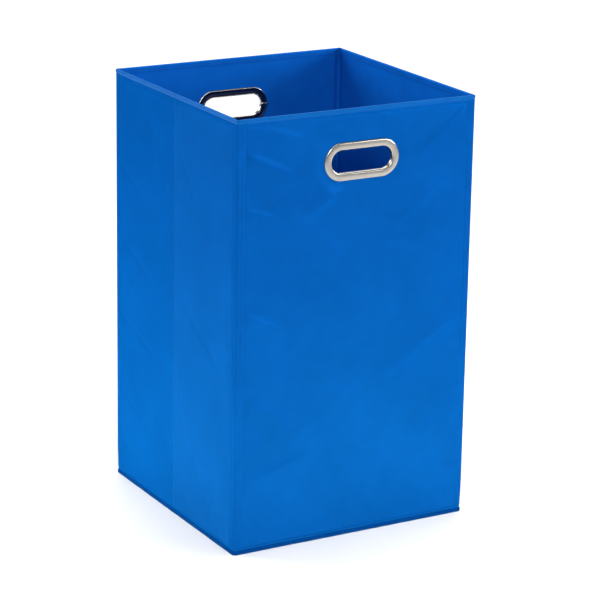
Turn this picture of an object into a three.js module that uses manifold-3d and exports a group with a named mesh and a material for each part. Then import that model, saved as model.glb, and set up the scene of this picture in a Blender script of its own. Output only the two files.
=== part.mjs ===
// A square, upright, open-topped folding laundry basket of coated fabric over stiff boards.
// Units are millimetres. +Z is up, the front is towards -Y, and the foot stands on z = 0.
// Each side wall folds inwards on a crease, so that the front wall moves straight back to the
// back wall. The floor flap hinges up against the back wall first.

import * as THREE from 'three';
import { mergeVertices } from 'three/addons/utils/BufferGeometryUtils.js';
import Module from 'manifold-3d';

// ---------------------------------------------------------------- driving dimensions

const WIDTH = 354;                 // across the side walls' outer faces (X)
const DEPTH = 352;                 // across the front and back walls' outer faces (Y)
const HEIGHT = 584.2;              // floor to rim (Z)

const COVER = 0.6;                 // outer fabric
const BOARD = 1.8;                 // stiffening board in a wall
const LINING = 0.6;                // inner fabric
const PLY_GAP = 0.15;              // air between two plies
const WALL = COVER + PLY_GAP + BOARD + PLY_GAP + LINING;

const CORNER_STRIP = 12;           // soft fabric each side of a corner edge, free of boards
const CORNER_RADIUS = 2.5;
const SEAM_GAP = 0.3;              // clearance between neighbouring pieces
const CREASE_HALF = 1.2;           // cover stops this far from the crease line
const CREASE_BOARD_HALF = 4;       // board stops this far from the crease line

const BINDING_HEIGHT = 5;
const BINDING_PROUD = 0.8;         // the binding stands this far outside the wall
const BINDING_DEPTH = 3.8;
const BINDING_CORNER = 12;         // plan radius of the bound seam at the four corners
const BINDING_CHAMFER = 0.8;
const WALL_START = 9.4;            // walls' rigid plies start above the floor flap
const HEM_HEIGHT = 9.5;
const HEM_TOP = 0.8;

const TRAY_FLOOR = 2.2;            // underside of the base fabric
const TRAY_PLY = 0.6;
const TRAY_RIM = 9.1;

const FLAP_CLEAR = 2.7;            // floor flap to side linings
const FLAP_FRONT_CLEAR = 3.2;
const FLAP_UNDERSIDE = 5.4;
const FLAP_SLEEVE = 0.5;
const FLAP_BOARD = 1.8;
const FLAP_PLY_GAP = 0.2;
const FLAP_EDGE = 1.5;             // sewn edge of the sleeve round its board
const FLAP_CORNER = 6;
const FLAP_THICKNESS = 2 * (FLAP_SLEEVE + FLAP_PLY_GAP) + FLAP_BOARD;
const FLAP_HINGE_SETBACK = 0.5;    // hinge line in front of the back lining
const FLAP_REAR_GAP = 0.8;         // flap's back edge in front of its hinge line
const FLAP_STRIP = 0.4;            // fabric strip that hangs the flap
const FLAP_STRIP_RISE = 15;

const REAR_CORNER_AXIS_Y = 168.8;  // the folding sides clear the raised flap here
const FRONT_CORNER_AXIS_Y = -171.6;
const CREASE_Y = (REAR_CORNER_AXIS_Y + FRONT_CORNER_AXIS_Y) / 2;

const HANDLE_WIDTH = 90;           // clear opening of a grommet
const HANDLE_HEIGHT = 30;
const HANDLE_Z = 515;
const HANDLE_X = { front: 5, back: 2 };
const HANDLE_CUT = 2;              // the wall's hole is this much larger all round
const RING_WIDTH = 10.5;
const RING_PROUD = 1.8;
const BARREL = 1.5;                // wall of the grommet's barrel
const BARREL_PAST = 1.2;           // barrel end beyond the lining

const ARC_STEPS = 12;              // facets in a half circle of a grommet
const CORNER_STEPS = 4;            // facets in a quarter circle of a plan corner

// ---------------------------------------------------------------- materials

const LOOKS = {
  shell: { color: 0x0f6fc4, roughness: 0.55, metalness: 0 },
  lining: { color: 0x0d63b3, roughness: 0.6, metalness: 0 },
  binding: { color: 0x0a4fa0, roughness: 0.6, metalness: 0 },
  board: { color: 0xb89468, roughness: 0.9, metalness: 0 },
  chrome: { color: 0xdfe2e5, roughness: 0.15, metalness: 1 },
};

const basket = new THREE.Group();

function addPart(parent, name, geometry, look) {
  const part = new THREE.Mesh(geometry, new THREE.MeshStandardMaterial(LOOKS[look]));
  part.name = name;
  parent.add(part);
  return part;
}

// ---------------------------------------------------------------- geometry helpers

function signedVolume(geometry) {
  const at = geometry.attributes.position;
  const [a, b, c] = [new THREE.Vector3(), new THREE.Vector3(), new THREE.Vector3()];
  let sum = 0;
  for (let i = 0; i < geometry.index.count; i += 3) {
    a.fromBufferAttribute(at, geometry.index.getX(i));
    b.fromBufferAttribute(at, geometry.index.getX(i + 1));
    c.fromBufferAttribute(at, geometry.index.getX(i + 2));
    sum += a.dot(b.cross(c)) / 6;
  }
  return sum;
}

function solidFrom(points, faces) {
  const geometry = new THREE.BufferGeometry().setFromPoints(points);
  geometry.setIndex(faces.flat());
  if (signedVolume(geometry) < 0) {
    geometry.setIndex(faces.flatMap(([a, b, c]) => [a, c, b]));
  }
  geometry.computeVertexNormals();
  return geometry;
}

// Joins rings of points that all have the same count. An open loft gets a flat cap at each end:
// outlines holds the two end rings as 2D points. A closed loft joins its last ring to its first.
function loft(rings, outlines) {
  const count = rings[0].length;
  const faces = [];
  const closed = outlines === undefined;
  const bands = closed ? rings.length : rings.length - 1;
  for (let band = 0; band < bands; band += 1) {
    const near = band * count;
    const far = ((band + 1) % rings.length) * count;
    for (let i = 0; i < count; i += 1) {
      const next = (i + 1) % count;
      faces.push([near + i, near + next, far + next], [near + i, far + next, far + i]);
    }
  }
  if (!closed) {
    const last = (rings.length - 1) * count;
    for (const [a, b, c] of THREE.ShapeUtils.triangulateShape(outlines[0], [])) {
      faces.push([c, b, a]);
    }
    for (const [a, b, c] of THREE.ShapeUtils.triangulateShape(outlines[1], [])) {
      faces.push([last + a, last + b, last + c]);
    }
  }
  return solidFrom(rings.flat(), faces);
}

// Sweeps a section through stations. A station has a point, and the two directions that the
// section's x and y are measured along.
function sweep(section, stations, closed = false) {
  const rings = stations.map(({ point, across, up }) => section.map(({ x, y }) => (
    point.clone().addScaledVector(across, x).addScaledVector(up, y))));
  return closed ? loft(rings) : loft(rings, [section, section]);
}

const UP = new THREE.Vector3(0, 0, 1);

// Stations for a straight run along local X from one x to the other; across is local Y.
function straightRun(from, to) {
  const across = new THREE.Vector3(0, 1, 0);
  return [from, to].map((x) => ({ point: new THREE.Vector3(x, 0, 0), across, up: UP }));
}

// Stations round a quarter turn in plan, about a centre, starting at an angle in radians.
// The section's x is measured inwards from the given radius.
function cornerRun(centre, radius, startAngle) {
  return Array.from({ length: CORNER_STEPS + 1 }, (_, i) => {
    const angle = startAngle + (i / CORNER_STEPS) * (Math.PI / 2);
    const outward = new THREE.Vector3(Math.cos(angle), Math.sin(angle), 0);
    const point = new THREE.Vector3(centre.x, centre.y, 0).addScaledVector(outward, radius);
    return { point, across: outward.clone().negate(), up: UP };
  });
}

function points2(list) {
  return list.map(([x, y]) => new THREE.Vector2(x, y));
}

// The signs of x and y in the four quadrants, anticlockwise from +X +Y.
const QUADRANTS = [[1, 1], [-1, 1], [-1, -1], [1, -1]];

// Outline of a rectangle with round corners, centred on x = y = 0.
function roundedOutline(halfX, halfY, radius) {
  const outline = [];
  QUADRANTS.forEach(([sx, sy], corner) => {
    for (let i = 0; i <= CORNER_STEPS; i += 1) {
      const angle = (corner + i / CORNER_STEPS) * (Math.PI / 2);
      const x = sx * (halfX - radius) + radius * Math.cos(angle);
      const y = sy * (halfY - radius) + radius * Math.sin(angle);
      outline.push(new THREE.Vector2(x, y));
    }
  });
  return outline;
}

// Closed path of an oblong with round ends, in local X and Z, as stations whose section's x is
// measured outwards from the oblong's edge and y along local Y, into the basket.
function oblongRun(width, height, centreX, centreZ) {
  const radius = height / 2;
  const halfStraight = (width - height) / 2;
  const inward = new THREE.Vector3(0, 1, 0);
  const stations = [];
  for (const side of [1, -1]) {
    for (let i = 0; i <= ARC_STEPS; i += 1) {
      const angle = -Math.PI / 2 + (i / ARC_STEPS) * Math.PI + (side < 0 ? Math.PI : 0);
      const outward = new THREE.Vector3(Math.cos(angle), 0, Math.sin(angle));
      const end = new THREE.Vector3(centreX + side * halfStraight, 0, centreZ);
      stations.push({ point: end.addScaledVector(outward, radius), across: outward, up: inward });
    }
  }
  return stations;
}

// A flat ply in local X and Z between two y values, with an optional oblong hole.
function ply({ fromX, toX, fromZ, toZ, nearY, farY, hole }) {
  const shape = new THREE.Shape();
  shape.moveTo(fromX, fromZ);
  shape.lineTo(toX, fromZ);
  shape.lineTo(toX, toZ);
  shape.lineTo(fromX, toZ);
  shape.closePath();
  if (hole) {
    const run = oblongRun(hole.width, hole.height, hole.x, hole.z);
    shape.holes.push(new THREE.Path(run.map(({ point }) => new THREE.Vector2(point.x, point.z))));
  }
  const geometry = new THREE.ExtrudeGeometry(shape, { depth: farY - nearY, bevelEnabled: false });
  geometry.rotateX(Math.PI / 2);
  geometry.translate(0, farY, 0);
  return geometry;
}

// ---------------------------------------------------------------- wall frames

// Each wall is built in a local frame: X along the wall, Y from its outer face inwards, Z up.
function wallFrame(x, y, angle) {
  const frame = new THREE.Group();
  frame.position.set(x, y, 0);
  frame.rotation.z = angle;
  basket.add(frame);
  return frame;
}

const HEM_SECTION = points2([
  [0, HEIGHT - HEM_HEIGHT],
  [COVER, HEIGHT - HEM_HEIGHT],
  [COVER, HEIGHT - HEM_TOP],
  [WALL - LINING, HEIGHT - HEM_TOP],
  [WALL - LINING, HEIGHT - HEM_HEIGHT],
  [WALL, HEIGHT - HEM_HEIGHT],
  [WALL, HEIGHT],
  [0, HEIGHT],
]);

// The binding's section, with x measured inwards from its own outer face.
const BINDING_SECTION = points2([
  [BINDING_CHAMFER, 0],
  [BINDING_DEPTH - BINDING_CHAMFER, 0],
  [BINDING_DEPTH, BINDING_CHAMFER],
  [BINDING_DEPTH, BINDING_HEIGHT - BINDING_CHAMFER],
  [BINDING_DEPTH - BINDING_CHAMFER, BINDING_HEIGHT],
  [BINDING_CHAMFER, BINDING_HEIGHT],
  [0, BINDING_HEIGHT - BINDING_CHAMFER],
  [0, BINDING_CHAMFER],
]);

// One stretch of wall between two local x values: cover, board, lining and hem.
function wallPlies(frame, name, { fromX, toX, boardFromX, boardToX, hole }) {
  const fabricTop = HEIGHT - HEM_HEIGHT - SEAM_GAP;
  const boardTop = HEIGHT - HEM_TOP - SEAM_GAP;
  const fabric = { fromX, toX, fromZ: WALL_START, toZ: fabricTop, hole };
  const boardNear = COVER + PLY_GAP;
  addPart(frame, `${name}_cover`, ply({ ...fabric, nearY: 0, farY: COVER }), 'shell');
  addPart(frame, `${name}_board`, ply({
    fromX: boardFromX,
    toX: boardToX,
    fromZ: WALL_START,
    toZ: boardTop,
    nearY: boardNear,
    farY: boardNear + BOARD,
    hole,
  }), 'board');
  addPart(frame, `${name}_lining`, ply({ ...fabric, nearY: WALL - LINING, farY: WALL }), 'lining');
  addPart(frame, `${name}_top_hem`, sweep(HEM_SECTION, straightRun(fromX, toX)), 'shell');
}

// ---------------------------------------------------------------- front and back walls

const RING_OUTER_SECTION = points2([
  [0, WALL + BARREL_PAST],
  [0, -0.4],
  [1.1, -1.3],
  [3.4, -RING_PROUD],
  [6.9, -RING_PROUD],
  [9.4, -1.3],
  [RING_WIDTH, -0.6],
  [RING_WIDTH, -0.1],
  [BARREL, -0.1],
  [BARREL, WALL + BARREL_PAST],
]);

const RING_INNER_SECTION = points2([
  [BARREL + SEAM_GAP, WALL + 0.1],
  [RING_WIDTH, WALL + 0.1],
  [RING_WIDTH, WALL + 0.6],
  [9.2, WALL + 1.1],
  [6.6, WALL + 1.35],
  [3.9, WALL + 1.35],
  [BARREL + SEAM_GAP, WALL + 0.9],
]);

function grommet(frame, name, localX) {
  const run = oblongRun(HANDLE_WIDTH, HANDLE_HEIGHT, localX, HANDLE_Z);
  addPart(frame, `${name}_handle_outer_ring`, sweep(RING_OUTER_SECTION, run, true), 'chrome');
  addPart(frame, `${name}_handle_inner_ring`, sweep(RING_INNER_SECTION, run, true), 'chrome');
}

// The bound seam under a front or back wall runs on round the two plan corners.
function corneredBinding(frame, name) {
  const halfX = WIDTH / 2 + BINDING_PROUD - BINDING_CORNER;
  const centreY = BINDING_CORNER - BINDING_PROUD;
  const left = cornerRun({ x: -halfX, y: centreY }, BINDING_CORNER, Math.PI);
  const right = cornerRun({ x: halfX, y: centreY }, BINDING_CORNER, -Math.PI / 2);
  addPart(frame, `${name}_base_binding`, sweep(BINDING_SECTION, [...left, ...right]), 'binding');
}

function handleWall(name, y, angle, localX) {
  const frame = wallFrame(0, y, angle);
  const half = WIDTH / 2 - CORNER_STRIP;
  const cut = 2 * HANDLE_CUT;
  wallPlies(frame, name, {
    fromX: -half,
    toX: half,
    boardFromX: -half,
    boardToX: half,
    hole: { width: HANDLE_WIDTH + cut, height: HANDLE_HEIGHT + cut, x: localX, z: HANDLE_Z },
  });
  grommet(frame, name, localX);
  corneredBinding(frame, name);
}

// ---------------------------------------------------------------- folding side walls

// One half of a side wall, between two world y values. The local X axis runs along world Y:
// turn is +1 where it has the same direction, and -1 where it is opposite.
function sideHalf(frame, name, turn, creaseY, cornerY) {
  const away = Math.sign(cornerY - creaseY);
  const edges = (creaseHalf) => {
    const ends = [turn * (creaseY + away * creaseHalf), turn * cornerY];
    return ends.sort((a, b) => a - b);
  };
  const [fromX, toX] = edges(CREASE_HALF);
  const [boardFromX, boardToX] = edges(CREASE_BOARD_HALF);
  wallPlies(frame, name, { fromX, toX, boardFromX, boardToX });
  const run = straightRun(fromX, toX);
  for (const { point } of run) {
    point.y = -BINDING_PROUD;
  }
  addPart(frame, `${name}_base_binding`, sweep(BINDING_SECTION, run), 'binding');
}

// The thin fabric hinge on a crease line, level with the cover.
function creaseStrip(frame, name, turn) {
  const half = CREASE_HALF - SEAM_GAP;
  addPart(frame, name, ply({
    fromX: turn * CREASE_Y - half,
    toX: turn * CREASE_Y + half,
    fromZ: WALL_START,
    toZ: HEIGHT,
    nearY: 0,
    farY: COVER,
  }), 'shell');
}

function foldingSide(side, x, angle, turn) {
  const frame = wallFrame(x, 0, angle);
  const corner = DEPTH / 2 - CORNER_STRIP;
  sideHalf(frame, `${side}_rear`, turn, CREASE_Y, corner);
  sideHalf(frame, `${side}_front`, turn, CREASE_Y, -corner);
  creaseStrip(frame, `crease_${side}`, turn);
}

// ---------------------------------------------------------------- corner fabric

// The soft fabric round one vertical corner edge, between the two neighbouring covers.
function cornerStrip(name, quadrant) {
  const [sideX, sideY] = QUADRANTS[quadrant];
  const leg = CORNER_STRIP - SEAM_GAP;
  const section = points2([
    [0, WALL_START],
    [COVER, WALL_START],
    [COVER, HEIGHT],
    [0, HEIGHT],
  ]);
  const turn = cornerRun({ x: 0, y: 0 }, CORNER_RADIUS, quadrant * (Math.PI / 2));
  const run = leg - CORNER_RADIUS;
  const first = turn[0];
  const last = turn[turn.length - 1];
  const lead = new THREE.Vector3().crossVectors(UP, first.across).multiplyScalar(run);
  const trail = new THREE.Vector3().crossVectors(last.across, UP).multiplyScalar(run);
  const stations = [
    { ...first, point: first.point.clone().add(lead) },
    ...turn,
    { ...last, point: last.point.clone().add(trail) },
  ];
  const x = sideX * (WIDTH / 2 - CORNER_RADIUS);
  const y = sideY * (DEPTH / 2 - CORNER_RADIUS);
  const strip = addPart(basket, name, sweep(section, stations), 'shell');
  strip.position.set(x, y, 0);
}

// ---------------------------------------------------------------- base and floor flap

// The base fabric is a shallow tray: its floor lies inside the bound seam, and its rim stands
// in line with the walls, up to where their boards start.
function baseFabric() {
  const inner = BINDING_DEPTH - BINDING_PROUD + SEAM_GAP;
  const rim = PLY_GAP;
  const flangeZ = BINDING_HEIGHT + SEAM_GAP;
  const levels = [
    [inner, TRAY_FLOOR],
    [inner, flangeZ],
    [rim, flangeZ],
    [rim, TRAY_RIM],
    [rim + TRAY_PLY, TRAY_RIM],
    [rim + TRAY_PLY, flangeZ + TRAY_PLY],
    [inner + TRAY_PLY, flangeZ + TRAY_PLY],
    [inner + TRAY_PLY, TRAY_FLOOR + TRAY_PLY],
  ];
  const outlines = levels.map(([inset]) => roundedOutline(
    WIDTH / 2 - inset,
    DEPTH / 2 - inset,
    BINDING_CORNER - BINDING_PROUD - inset,
  ));
  const rings = outlines.map((outline, i) => (
    outline.map(({ x, y }) => new THREE.Vector3(x, y, levels[i][1]))));
  const tray = loft(rings, [outlines[0], outlines[outlines.length - 1]]);
  addPart(basket, 'base_fabric', tray, 'lining');
}

const wasm = await Module();
wasm.setup();

function toManifold(geometry) {
  const bare = geometry.clone();
  bare.deleteAttribute('normal');
  bare.deleteAttribute('uv');
  const merged = mergeVertices(bare);
  return new wasm.Manifold(new wasm.Mesh({
    numProp: 3,
    vertProperties: new Float32Array(merged.attributes.position.array),
    triVerts: new Uint32Array(merged.index.array),
  }));
}

function fromManifold(solid) {
  const mesh = solid.getMesh();
  const geometry = new THREE.BufferGeometry();
  geometry.setAttribute('position', new THREE.BufferAttribute(mesh.vertProperties, 3));
  geometry.setIndex(new THREE.BufferAttribute(mesh.triVerts, 1));
  geometry.computeVertexNormals();
  return geometry;
}

// A flat plate with round corners, from one z to another, centred on x = y = 0.
function plate(sizeX, sizeY, corner, fromZ, toZ) {
  const outline = roundedOutline(sizeX / 2, sizeY / 2, corner);
  const rings = [fromZ, toZ].map((z) => outline.map(({ x, y }) => new THREE.Vector3(x, y, z)));
  return loft(rings, [outline, outline]);
}

function floorFlap() {
  const innerBack = DEPTH / 2 - WALL;
  const hingeY = innerBack - FLAP_HINGE_SETBACK;
  const rear = hingeY - FLAP_REAR_GAP;
  const front = -innerBack + FLAP_FRONT_CLEAR;
  const sizeX = WIDTH - 2 * (WALL + FLAP_CLEAR);
  const sizeY = rear - front;
  const centreY = (rear + front) / 2;
  const top = FLAP_UNDERSIDE + FLAP_THICKNESS;
  const boardInset = FLAP_EDGE + FLAP_PLY_GAP;
  const boardCorner = FLAP_CORNER - boardInset;
  const boardUnderside = FLAP_UNDERSIDE + FLAP_SLEEVE + FLAP_PLY_GAP;

  const outside = plate(sizeX, sizeY, FLAP_CORNER, FLAP_UNDERSIDE, top);
  const pocket = plate(
    sizeX - 2 * FLAP_EDGE,
    sizeY,
    boardCorner,
    FLAP_UNDERSIDE + FLAP_SLEEVE,
    top - FLAP_SLEEVE,
  );
  pocket.translate(0, FLAP_EDGE, 0);
  const sleeve = fromManifold(toManifold(outside).subtract(toManifold(pocket)));
  const cover = addPart(basket, 'floor_cover', sleeve, 'lining');
  cover.position.y = centreY;

  const boardPlate = plate(
    sizeX - 2 * boardInset,
    sizeY - 2 * boardInset,
    boardCorner,
    boardUnderside,
    boardUnderside + FLAP_BOARD,
  );
  const board = addPart(basket, 'floor_board', boardPlate, 'board');
  board.position.y = centreY;
}

// A narrow angle of fabric from the flap's top, up the foot of the back lining.
function floorHingeStrip() {
  const back = DEPTH / 2 - WALL - SEAM_GAP;
  const low = FLAP_UNDERSIDE + FLAP_THICKNESS + SEAM_GAP;
  const reach = 4;
  const section = points2([
    [back - reach, low],
    [back, low],
    [back, low + FLAP_STRIP_RISE],
    [back - FLAP_STRIP, low + FLAP_STRIP_RISE],
    [back - FLAP_STRIP, low + FLAP_STRIP],
    [back - reach, low + FLAP_STRIP],
  ]);
  const half = WIDTH / 2 - CORNER_STRIP;
  addPart(basket, 'floor_hinge_strip', sweep(section, straightRun(-half, half)), 'lining');
}

// ---------------------------------------------------------------- assembly

handleWall('front', -DEPTH / 2, 0, HANDLE_X.front);
handleWall('back', DEPTH / 2, Math.PI, -HANDLE_X.back);
foldingSide('left', -WIDTH / 2, -Math.PI / 2, -1);
foldingSide('right', WIDTH / 2, Math.PI / 2, 1);
const cornerNames = ['back_right', 'back_left', 'front_left', 'front_right'];
cornerNames.forEach((place, quadrant) => cornerStrip(`corner_${place}`, quadrant));
baseFabric();
floorFlap();
floorHingeStrip();

export default basket;
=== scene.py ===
"""A square folding laundry basket: coated blue fabric over boards, with long oval metal grommets.

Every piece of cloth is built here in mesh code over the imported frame. Lengths are in metres.
A wall's own coordinates are s along the wall, d outwards from its outer face, and z up.
"""

import math

import bmesh
import bpy
import numpy as np
from mathutils import Matrix, Vector
from mathutils.geometry import delaunay_2d_cdt


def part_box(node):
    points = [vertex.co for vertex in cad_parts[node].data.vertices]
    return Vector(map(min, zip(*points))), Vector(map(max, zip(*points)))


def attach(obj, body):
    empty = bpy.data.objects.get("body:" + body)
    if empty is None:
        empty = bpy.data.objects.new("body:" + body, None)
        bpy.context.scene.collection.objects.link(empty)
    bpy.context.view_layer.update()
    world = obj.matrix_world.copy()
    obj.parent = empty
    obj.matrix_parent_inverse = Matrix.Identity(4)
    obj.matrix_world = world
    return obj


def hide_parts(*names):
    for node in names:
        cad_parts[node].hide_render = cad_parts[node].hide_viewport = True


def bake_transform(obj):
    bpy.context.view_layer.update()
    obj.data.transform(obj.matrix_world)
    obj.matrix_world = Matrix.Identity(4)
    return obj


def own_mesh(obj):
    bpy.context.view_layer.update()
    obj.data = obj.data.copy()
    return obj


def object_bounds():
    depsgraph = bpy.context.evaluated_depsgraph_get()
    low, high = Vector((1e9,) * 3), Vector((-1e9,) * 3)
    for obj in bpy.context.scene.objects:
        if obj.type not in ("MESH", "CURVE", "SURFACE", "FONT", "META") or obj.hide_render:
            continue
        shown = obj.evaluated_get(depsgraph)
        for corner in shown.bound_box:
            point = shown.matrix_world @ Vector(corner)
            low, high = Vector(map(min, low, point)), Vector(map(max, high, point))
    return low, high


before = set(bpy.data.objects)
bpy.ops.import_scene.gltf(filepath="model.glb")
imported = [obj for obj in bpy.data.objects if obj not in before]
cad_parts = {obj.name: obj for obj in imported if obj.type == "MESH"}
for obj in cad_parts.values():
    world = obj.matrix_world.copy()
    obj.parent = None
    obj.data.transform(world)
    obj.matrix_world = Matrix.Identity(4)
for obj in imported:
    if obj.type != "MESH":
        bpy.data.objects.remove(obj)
CAD_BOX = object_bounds()

# ---- sizes, from the frame

MM = 0.001
UP = np.array([0.0, 0.0, 1.0])

RIM = CAD_BOX[1].z
OUT_X = -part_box("left_rear_cover")[0].x
OUT_Y = -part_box("front_cover")[0].y
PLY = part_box("front_cover")[1].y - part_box("front_cover")[0].y
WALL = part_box("front_lining")[1].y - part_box("front_cover")[0].y
SEAM = OUT_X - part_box("front_cover")[1].x        # cover's edge to the corner edge
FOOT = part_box("front_cover")[0].z                # lowest point of a wall's plies
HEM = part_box("front_top_hem")[0].z               # lower edge of the top hem
TAPE_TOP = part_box("front_base_binding")[1].z
TAPE_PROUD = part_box("front_base_binding")[1].x - OUT_X
CREASE_Y = (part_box("left_rear_cover")[0].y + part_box("left_front_cover")[1].y) / 2
FREE_LEG = 8 * MM                                # side leg of the corner at the open pivot

OPENING_W, OPENING_H = 90 * MM, 30 * MM
CUT_LOW, CUT_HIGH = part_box("front_handle_outer_ring")
RING_W = (CUT_HIGH.z - CUT_LOW.z - OPENING_H) / 2
HANDLE_Z = (CUT_HIGH.z + CUT_LOW.z) / 2


def middle_x(node):
    low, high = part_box(node)
    return (low.x + high.x) / 2


class Wall:
    """One wall's outer plane."""

    def __init__(self, name, origin, along):
        self.name = name
        self.origin = np.array(origin, float)
        self.along = np.array(along, float)
        self.out = np.cross(self.along, UP)

    def place(self, s, d, z):
        """Points in the row frame, from s, d and z, each a number or an array."""
        s, d, z = np.broadcast_arrays(s, d, z)
        flat = self.origin + s[..., None] * self.along + d[..., None] * self.out
        return flat + z[..., None] * UP


FRONT = Wall("front", (0, -OUT_Y, 0), (1, 0, 0))
BACK = Wall("back", (0, OUT_Y, 0), (-1, 0, 0))
LEFT = Wall("left", (-OUT_X, 0, 0), (0, -1, 0))
RIGHT = Wall("right", (OUT_X, 0, 0), (0, 1, 0))

# ---- small maths


def smoothstep(x, low=0.0, high=1.0):
    t = np.clip((np.asarray(x, float) - low) / (high - low), 0, 1)
    return t * t * (3 - 2 * t)


def soft_noise(x, y, scale, seed):
    """A smooth random height from -1 to 1, with features about scale across."""
    size = 61
    lattice = np.random.default_rng(seed).uniform(-1, 1, (size, size))
    gx, gy = np.asarray(x) / scale + size, np.asarray(y) / scale + size
    ix, iy = np.floor(gx).astype(int), np.floor(gy).astype(int)
    fx, fy = smoothstep(gx - ix), smoothstep(gy - iy)
    near, far = ix % size, (ix + 1) % size
    low, high = iy % size, (iy + 1) % size
    bottom = lattice[near, low] * (1 - fx) + lattice[far, low] * fx
    top = lattice[near, high] * (1 - fx) + lattice[far, high] * fx
    return bottom * (1 - fy) + top * fy


def oblong_distance(x, z, width, height):
    """Distance outside an oblong with round ends, centred on zero."""
    half_straight = (width - height) / 2
    beyond = np.maximum(np.abs(x) - half_straight, 0)
    return np.hypot(beyond, z) - height / 2


NEAR_EDGE = np.array([0.0, 0.7, 1.5, 2.5, 3.8, 5.5, 7.5]) * MM


def graded(low, high, step):
    """Positions from low to high about step apart, and closer near both ends."""
    far = NEAR_EDGE[-1]
    count = max(2, round((high - low - 2 * far) / step) + 1)
    middle = np.linspace(low + far, high - far, count)
    return np.concatenate([low + NEAR_EDGE[:-1], middle, high - NEAR_EDGE[-2::-1]])


QUARTER_TURN = np.linspace(0, math.pi / 2, 9)


def along_lengths(line):
    """The distance along a line at each of its points."""
    steps = np.linalg.norm(np.diff(line, axis=0), axis=1)
    return np.concatenate([[0], np.cumsum(steps)])


# ---- mesh building

SHARP_DEG = 40      # faces that meet at more than this many degrees are shaded with an edge


def make_piece(name, points, faces, material, uvs=None, sharp_deg=SHARP_DEG):
    """A mesh object, shaded smooth but for its sharp edges."""
    mesh = bpy.data.meshes.new(name)
    mesh.from_pydata([tuple(p) for p in np.asarray(points, float)], [], faces)
    if uvs is not None:
        layer = mesh.uv_layers.new(name="UVMap")
        loops = np.zeros(len(mesh.loops), int)
        mesh.loops.foreach_get("vertex_index", loops)
        layer.data.foreach_set("uv", np.asarray(uvs, float)[loops].ravel())
    builder = bmesh.new()
    builder.from_mesh(mesh)
    bmesh.ops.recalc_face_normals(builder, faces=builder.faces)
    builder.to_mesh(mesh)
    builder.free()
    mesh.shade_smooth()
    mesh.set_sharp_from_angle(angle=math.radians(sharp_deg))
    mesh.materials.append(material)
    piece = bpy.data.objects.new(name, mesh)
    bpy.context.scene.collection.objects.link(piece)
    return piece


def loft(name, rings, material, uvs, closed=False, sharp_deg=SHARP_DEG):
    """A solid from equal rings of points. An open loft gets a cap at each end."""
    rings = np.asarray(rings, float)
    count, size = rings.shape[:2]
    faces = []
    for band in range(count if closed else count - 1):
        near, far = band * size, (band + 1) % count * size
        for i in range(size):
            j = (i + 1) % size
            faces.append((near + i, near + j, far + j, far + i))
    if not closed:
        faces.append(tuple(range(size - 1, -1, -1)))
        faces.append(tuple(range((count - 1) * size, count * size)))
    flat_uvs = np.asarray(uvs, float).reshape(-1, 2)
    return make_piece(name, rings.reshape(-1, 3), faces, material, flat_uvs, sharp_deg)


def sweep_uvs(runs, around):
    """UVs of rings at runs along a sweep, with their points around an outline."""
    runs, around = np.broadcast_arrays(np.asarray(runs)[:, None], around)
    return np.stack([runs, around], axis=-1)


def recloth(piece, chosen, material):
    """Gives a material to the faces that chosen picks by their number."""
    piece.data.materials.append(material)
    index = len(piece.data.materials) - 1
    for i, face in enumerate(piece.data.polygons):
        if chosen(i):
            face.material_index = index


def on_outline(where):
    """Picks a loft's faces wherever both of the outline's points are in place."""
    both = where & np.roll(where, -1)
    return lambda i: both[i % len(both)]


def boundary_edges(faces):
    """The directed edges that only one face uses."""
    seen = dict.fromkeys(edge for face in faces for edge in zip(face, [*face[1:], face[0]]))
    return [(a, b) for a, b in seen if (b, a) not in seen]


def closed_sheet(name, outer, inner, faces, material, uvs):
    """Cloth from its two surfaces' points, which share one set of faces."""
    count = len(outer)
    both = list(faces)
    both += [tuple(count + i for i in reversed(face)) for face in faces]
    both += [(b, a, count + a, count + b) for a, b in boundary_edges(faces)]
    points = np.concatenate([outer, inner])
    return make_piece(name, points, both, material, np.concatenate([uvs, uvs]))


def grid_faces(columns, rows):
    """Faces of a grid whose points run up each column in turn."""
    return [
        tuple(c * rows + r + step for step in (0, rows, rows + 1, 1))
        for c in range(columns - 1)
        for r in range(rows - 1)
    ]


def oblong_outline(width, height, steps):
    """The points round an oblong with round ends, anticlockwise, in x and z."""
    half_straight, radius = (width - height) / 2, height / 2
    outline = []
    for side in (1, -1):
        for i in range(steps + 1):
            angle = -math.pi / 2 + math.pi * i / steps + (math.pi if side < 0 else 0)
            outline.append((side * half_straight + radius * math.cos(angle), radius * math.sin(angle)))
    return np.array(outline)


HOLE_MARGINS = np.array([0, 1.5, 4, 7, 10.5, 14, 18]) * MM     # the rings of points round a hole
RING_TO_GRID = 3 * MM
HOLE_STEPS = 14
SAME_POINT = 1e-7


def holed_grid(columns, rows, hole_s, hole_w, hole_h):
    """Points and triangles of a grid with an oblong hole, finer round the hole."""
    loops = [
        oblong_outline(hole_w + 2 * m, hole_h + 2 * m, HOLE_STEPS) + (hole_s, HANDLE_Z)
        for m in HOLE_MARGINS
    ]
    s, z = (a.ravel() for a in np.meshgrid(columns, rows, indexing="ij"))
    away = oblong_distance(s - hole_s, z - HANDLE_Z, hole_w, hole_h)
    kept = away > HOLE_MARGINS[-1] + RING_TO_GRID
    points = np.concatenate([*loops, np.stack([s[kept], z[kept]], axis=1)])
    size = len(loops[0])
    edges = [(i, (i + 1) % size) for i in range(size)]
    verts, _, triangles, *_ = delaunay_2d_cdt([Vector(p) for p in points], edges, [], 0, SAME_POINT)
    verts = np.array([tuple(v) for v in verts])
    faces = []
    for face in triangles:
        centre = verts[list(face)].mean(0)
        if oblong_distance(centre[0] - hole_s, centre[1] - HANDLE_Z, hole_w, hole_h) > 0:
            faces.append(tuple(face))
    return verts, faces


# ---- how the cloth lies

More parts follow.
